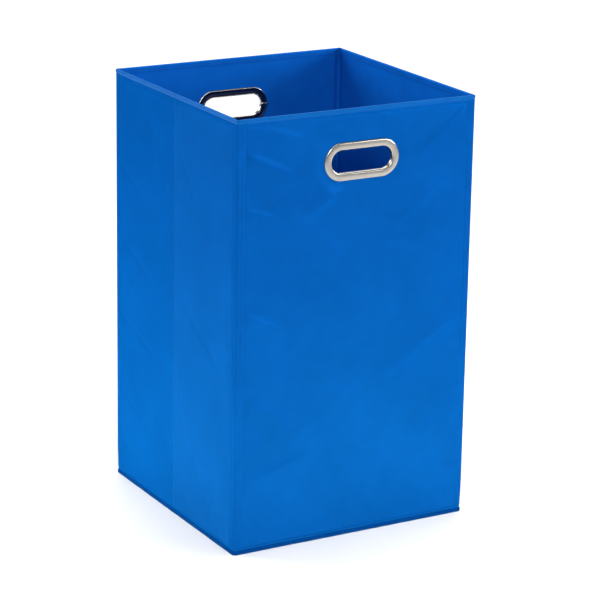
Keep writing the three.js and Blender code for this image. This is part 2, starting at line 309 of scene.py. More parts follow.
# Soft folds that the stitching draws: start (s, z), end (s, z), half width, height, in millimetres.
# A fold with a height below zero is a trough.
COVER_FOLDS = {
    "front": [
        ((188, 586), (88, 508), 5.5, 3.8), ((142, 486), (48, 416), 9, 2.6),
        ((-14, 484), (-84, 444), 8, 3.2), ((-176, 544), (-96, 506), 7, 2.2),
        ((-174, 584), (-76, 548), 8, 1.5), ((-176, 470), (-116, 450), 6, 1.8),
        ((186, 300), (88, 244), 9, 4.2), ((104, 256), (40, 210), 12, 2.8),
        ((168, 182), (84, 126), 12, 2.6), ((-170, 216), (-72, 158), 12, 3.2),
        ((-174, 102), (-56, 142), 13, 2.6), ((-176, 332), (-106, 298), 9, 2.4),
        ((10, 400), (124, 370), 16, 2.0),
    ],
    "back": [
        ((-178, 566), (-70, 500), 10, 2.4), ((174, 552), (98, 500), 8, 2.2),
        ((152, 470), (148, 220), 12, 1.8), ((-176, 306), (-76, 236), 11, 2.0),
        ((60, 220), (150, 120), 15, 1.5),
    ],
    "left": [
        ((-182, 246), (-52, 204), 4, -1.0), ((-182, 362), (-58, 306), 4, -0.96),
        ((-182, 300), (-110, 268), 3.5, -0.72), ((-180, 134), (-50, 84), 4, -0.96),
        ((-176, 60), (-90, 36), 4, -0.72), ((-176, 590), (-46, 508), 4, -1.0),
        ((-182, 464), (-84, 418), 4, -0.84), ((-60, 590), (-24, 430), 4.8, -0.6),
        ((180, 560), (60, 476), 4.8, -0.9), ((16, 312), (150, 232), 5.6, -0.9),
        ((180, 170), (100, 24), 4.8, -0.96), ((14, 180), (80, 60), 4.8, -0.72),
        ((10, 520), (70, 440), 4.8, -0.6),
    ],
    "right": [
        ((176, 576), (70, 496), 5, -0.85), ((-172, 486), (-50, 424), 5, -0.8),
        ((10, 262), (160, 184), 6, -0.75), ((-162, 164), (-62, 80), 5, -0.8),
        ((170, 330), (60, 280), 5, -0.7), ((-160, 330), (-40, 270), 5, -0.7),
    ],
}

SEED = {"front": 3, "back": 11, "left": 19, "right": 27}
STEEP, GENTLE = 0.6, 1.7     # a fold's half widths on its two sides, as shares
FOLD_ENDS = 0.8              # below 1, a fold keeps its height nearer to its ends


def fold(s, z, start, end, half_width, height):
    """A soft ledge that fades out at both ends. Its steep side faces towards larger s."""
    a, b = sorted((np.array(start) * MM, np.array(end) * MM), key=lambda point: point[0])
    run = b - a
    t = ((s - a[0]) * run[0] + (z - a[1]) * run[1]) / (run @ run)
    below = ((s - a[0]) * run[1] - (z - a[1]) * run[0]) / np.hypot(*run)
    rising = -1 if run[1] > 0 else 1
    x = below * rising * math.copysign(1, height) / (half_width * MM)
    ends = np.sin(np.pi * np.clip(t, 0, 1)) ** FOLD_ENDS
    return height * MM * ends * np.exp(-((x / np.where(x < 0, STEEP, GENTLE)) ** 2))


def edge_inset(s, z, edges):
    """Distance in from the nearest sewn edge of a panel."""
    s_low, s_high, z_low, z_high = edges
    return np.minimum.reduce([s - s_low, s_high - s, z - z_low, z_high - z])


def settled(height, low, high):
    """The height, kept softly between two limits."""
    above = low + np.logaddexp(0, (height - low) / SETTLE) * SETTLE
    return high - np.logaddexp(0, (high - above) / SETTLE) * SETTLE


PUCKER_REACH = 20 * MM
PUCKER_START, PUCKER_FULL = 1.5 * MM, 7 * MM
PUCKER_SIZE, PUCKER_GROUP = 12 * MM, 70 * MM     # one wrinkle, and a bunch of them
PUCKER_SLANT, PUCKER_STRETCH = 0.9, 0.25


def puckers(along, inset, seed):
    """Short slanting wrinkles that run in from a sewn edge, from about -1 to 1."""
    reach = np.exp(-inset / PUCKER_REACH) * smoothstep(inset, PUCKER_START, PUCKER_FULL)
    slant = soft_noise(along + PUCKER_SLANT * inset, PUCKER_STRETCH * inset, PUCKER_SIZE, seed)
    return reach * slant * (0.6 + 0.6 * soft_noise(along, 0 * along, PUCKER_GROUP, seed + 1))


def away_from_handle(wall, s, z):
    """0 under a grommet's flange, rising to 1 clear of it."""
    if wall.name not in HANDLE_S:
        return np.ones_like(s)
    away = oblong_distance(s - HANDLE_S[wall.name], z - HANDLE_Z, OPENING_W, OPENING_H)
    return smoothstep(away, RING_W + 0.5 * MM, RING_W + RING_EASE)


HANDLE_S = {
    "front": middle_x("front_handle_outer_ring"),
    "back": -middle_x("back_handle_outer_ring"),
}

RING_EASE = 16 * MM       # how far from a grommet the cloth is pressed flat
SEAM_DIP, SEAM_DIP_REACH = 0.16 * MM, 1.6 * MM
EDGE_ROLL = 0.2 * MM      # the turned edge beside a seam
EDGE_ROLL_AT, EDGE_ROLL_WIDTH = 3.2 * MM, 1.9 * MM
LOWEST = -0.1 * MM        # the cloth lies on its board this far below its own plane
SETTLE = 0.1 * MM
BODY_EASE = 22 * MM       # a cover's waves die out this near to its sewn edges
FOLD_EASE = 9 * MM
END_EASE = 60 * MM
# Waves of three sizes: strength, share of z, size and step of the seed.
WAVE_SIZES = ((1.0, 1.0, 62 * MM, 0), (0.6, 0.7, 27 * MM, 1), (0.2, 1.0, 15 * MM, 4))

# How far a cover can stand off, its waves, its swell in the middle, and the run over which it swells.
# The side walls' covers lie flatter, since their outsides meet when the basket folds.
HANDLE_WALL = (4.4 * MM, 0.62 * MM, 0.8 * MM, 60 * MM)
SIDE_WALL = (1.04 * MM, 0.3 * MM, 0.82 * MM, 14 * MM)


def cover_height(wall, s, z, edges):
    """How far the outer cloth stands off the wall's outer plane."""
    seed = SEED[wall.name]
    limit, waves, swell, swell_run = HANDLE_WALL if wall.name in HANDLE_S else SIDE_WALL
    inset = edge_inset(s, z, edges)
    from_side = np.minimum(s - edges[0], edges[1] - s)
    from_end = np.minimum(z - edges[2], edges[3] - z)
    body = smoothstep(inset, 0, BODY_EASE)
    height = swell * smoothstep(from_side, 0, swell_run) * smoothstep(from_end, 0, END_EASE)
    for strength, tall, size, step in WAVE_SIZES:
        height += strength * waves * body * soft_noise(s, tall * z, size, seed + step)
    for line in COVER_FOLDS[wall.name]:
        height += fold(s, z, *line) * smoothstep(inset, 0, FOLD_EASE)
    height += waves * puckers(z, from_side, seed + 2)
    height += waves * puckers(s, from_end, seed + 6)
    height = settled(height, LOWEST, limit) * away_from_handle(wall, s, z)
    rolled = np.minimum(from_side, edges[3] - z)
    height += EDGE_ROLL * np.exp(-(((rolled - EDGE_ROLL_AT) / EDGE_ROLL_WIDTH) ** 2))
    return height - SEAM_DIP * np.exp(-inset / SEAM_DIP_REACH)


def lining_height(wall, s, z, edges):
    """How far the lining stands into the basket from its plane."""
    seed = SEED[wall.name] + 40
    inset = edge_inset(s, z, edges)
    body = smoothstep(inset, 0, 30 * MM)
    height = 0.3 * MM * body * (1 + soft_noise(s, z, 60 * MM, seed))
    height += 0.12 * MM * body * soft_noise(s, z, 24 * MM, seed + 1)
    return height * away_from_handle(wall, s, z)


# ---- materials


class Nodes:
    """A material's node tree, with short calls for the nodes used here."""

    def __init__(self, name):
        self.material = bpy.data.materials.new(name)
        self.material.use_nodes = True
        self.tree = self.material.node_tree
        self.shader = self.tree.nodes["Principled BSDF"]
        coordinates = self.add("ShaderNodeTexCoord").outputs
        self.uv, self.where = coordinates["UV"], coordinates["Object"]

    def add(self, kind, **values):
        node = self.tree.nodes.new(kind)
        for key, value in values.items():
            if hasattr(node, key):
                setattr(node, key, value)
            else:
                node.inputs[key.replace("_", " ")].default_value = value
        return node

    def link(self, out, into):
        self.tree.links.new(out, into)

    def maths(self, operation, *values):
        node = self.add("ShaderNodeMath", operation=operation)
        for socket, value in zip(node.inputs, values):
            if isinstance(value, bpy.types.NodeSocket):
                self.link(value, socket)
            else:
                socket.default_value = value
        return node.outputs[0]

    def scaled(self, value, factor, base):
        """A value times a factor, added to a number or to another value."""
        return self.maths("ADD", self.maths("MULTIPLY", value, factor), base)

    def blended(self, value, other):
        """60% of one value and 40% of another."""
        return self.scaled(value, 0.6, self.maths("MULTIPLY", other, 0.4))

    def threads(self, *pitches):
        """A sine wave along each UV axis, for a weave of these pitches."""
        split = self.add("ShaderNodeSeparateXYZ")
        self.link(self.uv, split.inputs[0])
        turns = [2 * math.pi / pitch for pitch in pitches]
        return [
            self.maths("SINE", self.maths("MULTIPLY", axis, turn))
            for axis, turn in zip(split.outputs, turns)
        ]

    def noise(self, vector, scale, detail=2.0, roughness=0.5):
        node = self.add("ShaderNodeTexNoise", Scale=scale, Detail=detail, Roughness=roughness)
        self.link(vector, node.inputs["Vector"])
        return node.outputs["Fac"]

    def ramp(self, value, stops):
        node = self.add("ShaderNodeValToRGB")
        ramp = node.color_ramp
        for position, _ in stops[2:]:
            ramp.elements.new(position)
        for i, (position, color) in enumerate(sorted(stops)):
            ramp.elements[i].position = position
            ramp.elements[i].color = (*color, 1)
        self.link(value, node.inputs["Fac"])
        return node.outputs["Color"]

    def shades(self, value, color, *stops):
        """A ramp through shades of one colour, from pairs of position and factor."""
        return self.ramp(value, [(at, tuple(factor * c for c in color)) for at, factor in stops])

    def bump(self, height, strength, distance, under=None):
        node = self.add("ShaderNodeBump", Strength=strength, Distance=distance)
        self.link(height, node.inputs["Height"])
        if under is not None:
            self.link(under, node.inputs["Normal"])
        return node.outputs["Normal"]

    def finish(self, color, roughness, normal, **uniform):
        self.link(color, self.shader.inputs["Base Color"])
        self.link(roughness, self.shader.inputs["Roughness"])
        self.link(normal, self.shader.inputs["Normal"])
        for key, value in uniform.items():
            self.shader.inputs[key.replace("_", " ")].default_value = value
        return self.material


WHITE = (1.0, 1.0, 1.0)


def cloth_material(name, color, thread_pitch, gloss, grain, shine=0.0):
    """Coated non-woven cloth: a fine pressed weave, faint clouding, scuffs and a soft sheen."""
    n = Nodes(name)
    weave = n.maths("MULTIPLY", *n.threads(thread_pitch, thread_pitch))
    clouds = n.noise(n.uv, 9, 3.0)
    mottle = n.noise(n.uv, 46, 4.0, 0.6)
    base = n.shades(n.blended(clouds, mottle), color, (0.3, 0.88), (0.5, 1.0), (0.7, 1.12))
    fleck = n.shades(n.noise(n.uv, 900), WHITE, (0.35, 0.9), (0.65, 1.0))
    mixed = n.add("ShaderNodeMix", data_type="RGBA", blend_type="MULTIPLY")
    mixed.inputs[0].default_value = 0.5
    n.link(base, mixed.inputs[6])
    n.link(fleck, mixed.inputs[7])
    rough = n.scaled(mottle, 0.12, gloss)
    fine = n.bump(weave, grain, 0.00012)
    coarse = n.bump(mottle, 0.25, 0.0012, fine)
    return n.finish(
        mixed.outputs[2], rough, coarse,
        Metallic=0.3, Specular_IOR_Level=shine, Specular_Tint=(0.2, 0.6, 1.0, 1.0),
    )


RIB_PITCH, WEFT_PITCH = 1.1 * MM, 0.6 * MM


def tape_material(name, color):
    """Woven binding tape with fine ribs across it."""
    n = Nodes(name)
    rib, weft = n.threads(RIB_PITCH, WEFT_PITCH)
    weave = n.scaled(weft, 0.4, rib)
    wear = n.noise(n.uv, 130, 3.0)
    base = n.shades(wear, color, (0.3, 0.82), (0.55, 1.0), (0.8, 1.2))
    rough = n.scaled(wear, 0.2, 0.6)
    return n.finish(
        base, rough, n.bump(weave, 0.35, 0.0002),
        Specular_IOR_Level=0.0, Sheen_Weight=0.05, Sheen_Roughness=0.5,
        Sheen_Tint=(0.1, 0.4, 1.0, 1.0),
    )


def thread_material(name, color):
    """Twisted sewing thread."""
    n = Nodes(name)
    twist = n.add("ShaderNodeTexWave", Scale=900.0, Distortion=0.4, bands_direction="DIAGONAL")
    n.link(n.where, twist.inputs["Vector"])
    turns = twist.outputs["Fac"]
    base = n.shades(turns, color, (0.2, 0.8), (0.8, 1.15))
    rough = n.scaled(turns, 0.1, 0.45)
    return n.finish(base, rough, n.bump(turns, 0.4, 0.0001), Specular_IOR_Level=0.3)


def metal_material(name, color, gloss):
    """Polished plate with faint brushing and a few soft smears."""
    n = Nodes(name)
    smear = n.noise(n.where, 60, 3.0)
    brush = n.add("ShaderNodeMapping", Scale=(40.0, 40.0, 2500.0))
    n.link(n.where, brush.inputs["Vector"])
    lines = n.noise(brush.outputs[0], 1.0)
    base = n.shades(smear, color, (0.3, 0.94), (0.7, 1.0))
    rough = n.scaled(smear, 0.06, gloss)
    return n.finish(base, rough, n.bump(lines, 0.015, 0.0002), Metallic=1.0)


def board_material(name, color):
    """Grey-brown chipboard with pulp flecks."""
    n = Nodes(name)
    pulp = n.noise(n.where, 700, 4.0, 0.7)
    clouds = n.noise(n.where, 30, 3.0)
    base = n.shades(n.blended(pulp, clouds), color, (0.3, 0.72), (0.5, 1.0), (0.7, 1.18))
    rough = n.scaled(pulp, 0.1, 0.85)
    return n.finish(base, rough, n.bump(pulp, 0.3, 0.0003), Specular_IOR_Level=0.2)


SHELL_PITCH, LINING_PITCH = 1.1 * MM, 0.9 * MM
SHELL = cloth_material("coated_cloth", (0.0016, 0.084, 0.362), SHELL_PITCH, 0.32, 0.25)
# Painted a little lighter than the shell: a painted sheen for the side walls' front halves.
SHEEN_SHELL = cloth_material("coated_cloth_painted_sheen", (0.0032, 0.09, 0.374), SHELL_PITCH, 0.32, 0.25)
# The crease strip's cloth is painted much lighter than the shell: a painted highlight down the fold line.
CREASE_HIGHLIGHT_CLOTH = cloth_material("creased_cloth", (0.0085, 0.132, 0.46), SHELL_PITCH, 0.36, 0.25)
# The rolled rim's cloth is painted lighter than the shell: a painted highlight along the rim.
HEM_HIGHLIGHT_CLOTH = cloth_material("rolled_cloth", (0.004, 0.104, 0.39), SHELL_PITCH, 0.3, 0.25, 0.05)
LINING = cloth_material("lining_cloth", (0.0036, 0.119, 0.51), LINING_PITCH, 0.5, 0.3)
# The tape is painted a darker blue than the shell: painted shade on the downward-facing bound seam at the
# foot.
TAPE = tape_material("binding_tape", (0.0008, 0.042, 0.215))
THREAD = thread_material("sewing_thread", (0.001, 0.1, 0.46))
METAL = metal_material("polished_plate", (0.44, 0.42, 0.385), 0.22)
# The same metal painted much darker: a painted dark reflection for the inner rings' band.
DARK_REFLECTION_METAL = metal_material("dull_plate", (0.16, 0.15, 0.14), 0.2)
BOARD = board_material("chipboard", (0.42, 0.3, 0.17))

# ---- panels: covers, linings, hems

COVER_GRID = {"front": 3 * MM, "back": 4 * MM, "left": 3 * MM, "right": 3 * MM}
LINING_GRID = 6 * MM
BARREL_ROOM = 4 * MM     # how much larger the cloth's hole is than the grommet's opening


def panel_grid(wall, edges, grid):
    """Points (s, z) and faces of a panel, holed for the grommet on a handle wall."""
    columns, rows = graded(*edges[:2], grid), graded(*edges[2:], grid)
    if wall.name in HANDLE_S:
        hole_w, hole_h = OPENING_W + BARREL_ROOM, OPENING_H + BARREL_ROOM
        return holed_grid(columns, rows, HANDLE_S[wall.name], hole_w, hole_h)
    s, z = (a.ravel() for a in np.meshgrid(columns, rows, indexing="ij"))
    return np.stack([s, z], axis=1), grid_faces(len(columns), len(rows))


def panel_ply(wall, panel, ply, edges, grid, skins, cloth):
    """A panel's outer or inner cloth. skins gives the depths of its two faces."""
    points, faces = panel_grid(wall, edges, grid)
    s, z = points.T
    outer, inner = (wall.place(s, d, z) for d in skins(wall, s, z, edges))
    piece = closed_sheet(f"{panel}_{ply}_cloth", outer, inner, faces, cloth, points)
    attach(piece, panel)
    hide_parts(f"{panel}_{ply}")


def cover_skins(*where):
    height = cover_height(*where)
    return height, height - PLY


def lining_skins(*where):
    height = lining_height(*where)
    return -WALL + PLY - height, -WALL - height


ROLL = 0.6 * MM          # how far the rolled rim stands proud of the wall
INNER_ROLL = 0.3 * MM
ROLL_HEIGHT = 1.9 * MM
HEM_STITCH = RIM - 5.6 * MM
ROLL_FOOT = RIM - ROLL_HEIGHT - 0.7 * MM
FOLD_STEPS = 12
SLOT_PLAY = 0.05 * MM
HEM_GRID = 8 * MM


def hem_skin():
    """The hem's skin in (d, z): up the outside, over the rolled rim and down the inside."""
    up = [
        (-SEAM_DIP, HEM), (-0.02 * MM, HEM + 0.5 * MM), (0.2 * MM, HEM + 1.4 * MM),
        (0.16 * MM, HEM_STITCH - 0.9 * MM), (-0.2 * MM, HEM_STITCH),
        (0.14 * MM, HEM_STITCH + 0.8 * MM), (0.48 * MM, HEM_STITCH + 1.9 * MM), (ROLL, ROLL_FOOT),
    ]
    half = WALL / 2 + (ROLL + INNER_ROLL) / 2
    middle = -WALL / 2 + (ROLL - INNER_ROLL) / 2
    over = [
        (middle + half * math.cos(a), RIM - ROLL_HEIGHT + ROLL_HEIGHT * math.sin(a))
        for a in np.linspace(0, math.pi, FOLD_STEPS + 1)
    ]
    down = [
        (-WALL - INNER_ROLL, ROLL_FOOT), (-WALL - 0.12 * MM, HEM_STITCH),
        (-WALL - 0.06 * MM, HEM + 0.8 * MM), (-WALL + 0.1 * MM, HEM),
    ]
    return [*up, *over, *down]


def hem_outline():
    """A wall's hem outline: its skin, and the slot over the board and the plies."""
    slot_out, slot_in = -PLY - SLOT_PLAY, -WALL + PLY + SLOT_PLAY
    slot_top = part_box("front_board")[1].z + 0.15 * MM
    slot = [(slot_in, HEM), (slot_in, slot_top), (slot_out, slot_top), (slot_out, HEM)]
    return np.array([*hem_skin(), *slot])


def hem_wave(wall, s, s_low, s_high):
    """The hem's slight wander off its plane, none at its ends."""
    wave = 0.2 * MM * soft_noise(s, 0 * s, 45 * MM, SEED[wall.name] + 5)
    return wave * smoothstep(np.minimum(s - s_low, s_high - s), 0, 15 * MM)


def clothe_hem(piece, outline):
    """Gives a loft rolled cloth outside, above the hem's stitches, painted lighter as a painted highlight
    along the rim, and lining inside.
    """
    d, z = np.array(outline).T
    outside = d > -0.6 * WALL
    recloth(piece, on_outline(outside & (z > HEM_STITCH - 0.1 * MM)), HEM_HIGHLIGHT_CLOTH)
    recloth(piece, on_outline(~outside), LINING)


def hem_panel(wall, panel, s_low, s_high):
    """The rim's turned hem, which straddles a panel's board and plies."""
    outline = hem_outline()
    stations = graded(s_low, s_high, HEM_GRID)
    wave = hem_wave(wall, stations, s_low, s_high)
    rings = wall.place(stations[:, None], outline[:, 0] + wave[:, None], outline[:, 1])
    uvs = sweep_uvs(stations, HEM + along_lengths(outline))
    piece = loft(f"{panel}_hem_cloth", rings, SHELL, uvs)
    clothe_hem(piece, outline)
    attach(piece, panel)
    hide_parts(f"{panel}_top_hem")
    return piece


# ---- stitching

STITCH_PITCH, STITCH_LENGTH = 5 * MM, 3.7 * MM
STITCH_HALF_WIDTH, STITCH_RISE = 0.26 * MM, 0.24 * MM
UNSTITCHED = 4 * MM         # of a panel's width, at its two ends together
STITCH_SINK = 0.1 * MM      # how far a stitch's two ends go into the cloth


def thread_shape():
    """One thread, a slim lens: its points along, across and off the cloth, and its faces."""
    points = [(-STITCH_LENGTH / 2, 0, -STITCH_SINK)]
    for share, girth in ((-0.3, 0.8), (0.0, 1.0), (0.3, 0.8)):
        for k in range(6):
            side = STITCH_HALF_WIDTH * girth * math.cos(2 * math.pi * k / 6)
            rise = STITCH_RISE * girth * math.sin(2 * math.pi * k / 6)
            points.append((share * STITCH_LENGTH, side, rise))
    points.append((STITCH_LENGTH / 2, 0, -STITCH_SINK))
    faces = []
    for k in range(6):
        after = (k + 1) % 6
        faces.append((0, 1 + after, 1 + k))
        faces += [(low + k, low + after, low + 6 + after, low + 6 + k) for low in (1, 7)]
        faces.append((19, 13 + k, 13 + after))
    return points, faces


def pitched(low, high):
    """Places one stitch apart, in the middle of low to high."""
    count = int((high - low - UNSTITCHED) / STITCH_PITCH)
    return (low + high) / 2 + (np.arange(count) - (count - 1) / 2) * STITCH_PITCH


def hem_stitches(wall, panel, s_low, s_high):
    """The row of stitches through the hem, seen outside and inside."""
    s = pitched(s_low, s_high)
    wave = hem_wave(wall, s, s_low, s_high)
    shape, lens = thread_shape()
    points, faces = [], []
    for depths, out in ((wave - 0.12 * MM, wall.out), (wave - WALL - 0.16 * MM, -wall.out)):
        across = np.cross(out, wall.along)
        for middle in wall.place(s, depths, HEM_STITCH):
            faces += [tuple(len(points) + i for i in face) for face in lens]
            points += [middle + x * wall.along + y * across + z * out for x, y, z in shape]
    piece = make_piece(f"{panel}_hem_stitches", points, faces, THREAD)
    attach(piece, panel)
    return piece


# ---- corners

CORNER_RADIUS, FOOT_RADIUS = 2.5 * MM, 4.5 * MM
ROUNDER_BELOW = 46 * MM
DOUBLE_PLY = 1.3 * MM
TUCK = 0.8 * MM                  # how much thinner the double cloth is inside the hem
CORNER_SWELL = 0.25 * MM
GROOVE = 0.4 * MM                # the topstitched groove beside a corner's edge
GROOVE_AT, GROOVE_WIDTH = 0.62, 0.12      # shares of the way from the seam to the edge
LEG_STEPS, ARC_STEPS = 12, 7


def corner_radius(z):
    """The plan radius of a corner edge: crisp, then rounder down to the bound seam."""
    return CORNER_RADIUS + (FOOT_RADIUS - CORNER_RADIUS) * (1 - smoothstep(z, FOOT, ROUNDER_BELOW))


def corner_plan(leg_a, leg_b, d, z):
    """Distances along the two legs from the corner edge, round a corner, at one d and z.

    Returns x along leg A, y along leg B, and the share of the way from a seam to the arc.
    """
    radius = max(corner_radius(z) + d, 0.25 * MM)
    centre = radius - d
    share = np.linspace(0, 1, LEG_STEPS + 1)
    angle = np.linspace(0, math.pi / 2, ARC_STEPS + 1)
    leg_in = (leg_a + (centre - leg_a) * share, -d + 0 * share, share)
    arc = (centre - radius * np.sin(angle), centre - radius * np.cos(angle), 1 + 0 * angle)
    leg_out = (-d + 0 * share, centre + (leg_b - centre) * share, 1 - share)
    return np.concatenate([np.transpose(leg_in)[:-1], np.transpose(arc), np.transpose(leg_out)[1:]])


def corner_levels():
    """A corner's levels, from the foot to the hem."""
    low = FOOT + np.array([0, 1.5, 4, 8, 13, 19, 27, 36]) * MM
    return np.array([*low, *np.linspace(low[-1] + 12 * MM, HEM - 3 * MM, 36), HEM - 1 * MM])


def corner_depth(d, z, share):
    """The depths of a corner's skin at one d and z, by the share of the way from a seam."""
    if d < -WALL / 2:
        thin = WALL - DOUBLE_PLY - (TUCK if z > HEM - 2 * MM else 0)
        return d + thin * smoothstep(share, 0.1, 0.75)
    if z >= HEM:
        return d + 0 * share
    dip = SEAM_DIP * np.exp(-share / 0.15)
    swell = CORNER_SWELL * np.sin(np.pi * share)
    return d - dip + swell - GROOVE * np.exp(-(((share - GROOVE_AT) / GROOVE_WIDTH) ** 2))


def corner_piece(place, right, rear, panels):
    """The soft double cloth round one corner, with the hem's fold on top.

    right and rear are 1 or -1. Leg A is on the first panel and leg B on the second, if it has one.
    """
    corner = np.array((right * OUT_X, rear * OUT_Y, 0))
    e1, e2 = np.array((-right, 0, 0)), np.array((0, -rear, 0))
    leg_a, leg_b = SEAM, SEAM if len(panels) == 2 else FREE_LEG
    levels = corner_levels()
    outline = [(0.0, z) for z in levels] + hem_skin() + [(-WALL, z) for z in levels[::-1]]
    rings, uvs = [], []
    for (d, z), run in zip(outline, along_lengths(outline)):
        depths = corner_depth(d, z, corner_plan(leg_a, leg_b, 0, z)[:, 2])
        path = np.array([
            corner_plan(leg_a, leg_b, deep, z)[i, :2] for i, deep in enumerate(depths)
        ])
        xyz = corner + path[:, :1] * e1 + path[:, 1:] * e2
        xyz[:, 2] = z
        rings.append(xyz)
        uvs.append(np.stack([along_lengths(path), np.full(len(path), run)], axis=1))
    rings, uvs = np.array(rings).transpose(1, 0, 2), np.array(uvs).transpose(1, 0, 2)
    piece = loft(f"corner_{place}_cloth", rings, SHELL, uvs)
    clothe_hem(piece, outline)
    if len(panels) == 2:
        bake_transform(piece)
    else:
        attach(piece, *panels)
    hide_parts(f"corner_{place}")


# ---- creases

CREASE_PLACES = np.array([-3.9, -2.6, -1.0, -0.7, -0.48, -0.24, 0, 0.24, 0.48, 0.7, 1.0, 2.6, 3.9]) * MM
CREASE_BEND = 0.48 * MM          # two points this far to each side of the strip's line are worked out, and nothing uses them
SHOWN = 0.5 * MM                 # and shows this far
CROWN, CROWN_SINK = 0.12 * MM, 0.08 * MM


def crease_piece(wall, side, toward_rear):
    """The hinge of cloth on a side wall's fold line, tucked behind both covers."""
    s_mid = CREASE_Y * wall.along[1]
    levels = np.linspace(FOOT, HEM - 0.6 * MM, 50)
    both = np.concatenate([levels, levels[::-1]])
    rings = []
    for place in CREASE_PLACES:
        crown = CROWN * (1 - (place / SHOWN) ** 2) - CROWN_SINK
        depths = (crown, crown - 0.22 * MM) if abs(place) < SHOWN else (-1.0 * MM, -1.4 * MM)
        rings.append(wall.place(s_mid + place, np.repeat(depths, len(levels)), both))
    # The shown part of the strip is the lighter cloth, a painted highlight along the crease.
    piece = loft(f"crease_{side}_cloth", rings, CREASE_HIGHLIGHT_CLOTH, sweep_uvs(s_mid + CREASE_PLACES, both))
    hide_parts(f"crease_{side}")
    rear, front = (wall.place(s_mid + k * CREASE_BEND, 0.0, RIM / 2) for k in (toward_rear, -toward_rear))
    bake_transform(piece)


# ---- assembly of the walls

HALF_X = OUT_X - SEAM
REAR_END = OUT_Y - SEAM
FREE_END = OUT_Y - FREE_LEG
COVER_GAP = {"rear": 1.0 * MM, "front": 0.55 * MM}    # where the covers stop beside the crease line
MEETING = 0.15 * MM      # linings, hems and tapes reach this near the crease line
SHEEN_COVERS = ("left_front", "right_front")            # these covers are painted a little lighter, a painted sheen on the side walls' front halves


def wall_panels(wall, panel, ends, crease):
    """A wall's cover, lining and hem. crease is -1 or 1 where that end meets the crease."""
    def short_of_crease(gap):
        return ends[0] + (gap if crease < 0 else 0), ends[1] - (gap if crease > 0 else 0)

    span = short_of_crease(MEETING)
    hem = [hem_panel(wall, panel, *span), hem_stitches(wall, panel, *span)]
    cover_span = short_of_crease(COVER_GAP[panel.split("_")[-1]] if crease else 0)
    # The front halves of the side walls get the lighter cloth, a painted sheen.
    cloth = SHEEN_SHELL if panel in SHEEN_COVERS else SHELL
    grid = COVER_GRID[wall.name]
    panel_ply(wall, panel, "cover", (*cover_span, FOOT, HEM), grid, cover_skins, cloth)
    panel_ply(wall, panel, "lining", (*span, FOOT, HEM), LINING_GRID, lining_skins, LINING)


for wall, panel, ends, crease in (
    (FRONT, "front", (-HALF_X, HALF_X), 0),
    (BACK, "back", (-HALF_X, HALF_X), 0),
    (LEFT, "left_rear", (-REAR_END, -CREASE_Y), 1),
    (LEFT, "left_front", (-CREASE_Y, REAR_END), -1),
    (RIGHT, "right_rear", (CREASE_Y, REAR_END), -1),
    (RIGHT, "right_front", (-FREE_END, CREASE_Y), 1),
):
    wall_panels(wall, panel, ends, crease)

for place, right, rear, panels in (
    ("back_left", -1, 1, ("back", "left_rear")),
    ("back_right", 1, 1, ("back", "right_rear")),
    ("front_left", -1, -1, ("front", "left_front")),
    ("front_right", 1, -1, ("front",)),
):
    corner_piece(place, right, rear, panels)

crease_piece(LEFT, "left", -1)
crease_piece(RIGHT, "right", 1)

# ---- bound seam

TAPE_TURN, TAPE_DEPTH = 4.5 * MM, 3.8 * MM
TAPE_AROUND = 28
TAPE_SQUARENESS = 0.45         # 1 would be an ellipse, and 0 a square
TAPE_PUFF = 0.12 * MM
TAPE_PITCH = 5 * MM
TAPE_STATIONS = 66
TAPE_LEG = SEAM - 0.8 * MM     # so the front and back tapes clear each other when folded


def tape_outline():
    """The closed outline of the binding in (d, z): a folded tape with soft edges."""
    half_d, half_z = TAPE_DEPTH / 2, TAPE_TOP / 2
    angles = 2 * np.pi * np.arange(TAPE_AROUND) / TAPE_AROUND
    waves = np.stack([np.cos(angles), np.sin(angles)], axis=1)
    squared = np.copysign(np.abs(waves) ** TAPE_SQUARENESS, waves)
    return (TAPE_PROUD - half_d, half_z) + (half_d, half_z) * squared


def tape_piece(panel, stations, seed):
    """A run of tape. Each station is a plan point on the wall's outer line, and the way out."""
    outline = tape_outline()
    points, normals = (np.array(column, float) for column in zip(*stations))
    run = along_lengths(points)
    puff = TAPE_PUFF * soft_noise(run, 0 * run, 14 * MM, seed)
    d = outline[:, 0] + puff[:, None] * (outline[:, 0] > 0)
    rings = points[:, None] + d[..., None] * normals[:, None]
    rings[..., 2] = outline[:, 1]
    piece = loft(f"{panel}_binding_tape", rings, TAPE, sweep_uvs(run, along_lengths(outline)))
    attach(piece, panel)
    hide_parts(f"{panel}_base_binding")
    return piece


def straight_stations(wall, s_low, s_high):
    count = round((s_high - s_low) / TAPE_PITCH)
    return [(wall.place(s, 0.0, 0.0), wall.out) for s in np.linspace(s_low, s_high, count)]


def cornered_stations(wall):
    """Tape under a handle wall, round both plan corners and on to the side tapes."""
    turns = []
    for side in (-1, 1):
        centre = wall.place(side * (OUT_X - TAPE_TURN), -TAPE_TURN, 0.0)
        outs = [math.sin(a) * side * wall.along + math.cos(a) * wall.out for a in QUARTER_TURN]
        turn = [(centre + TAPE_TURN * out, out) for out in outs]
        leg = (TAPE_LEG - TAPE_TURN) * wall.out
        turns.append(turn + [(turn[-1][0] - share * leg, outs[-1]) for share in (0.5, 1)])
    inner = np.linspace(-OUT_X + TAPE_TURN, OUT_X - TAPE_TURN, TAPE_STATIONS)[1:-1]
    middle = [(wall.place(s, 0.0, 0.0), wall.out) for s in inner]
    return turns[0][::-1] + middle + turns[1]


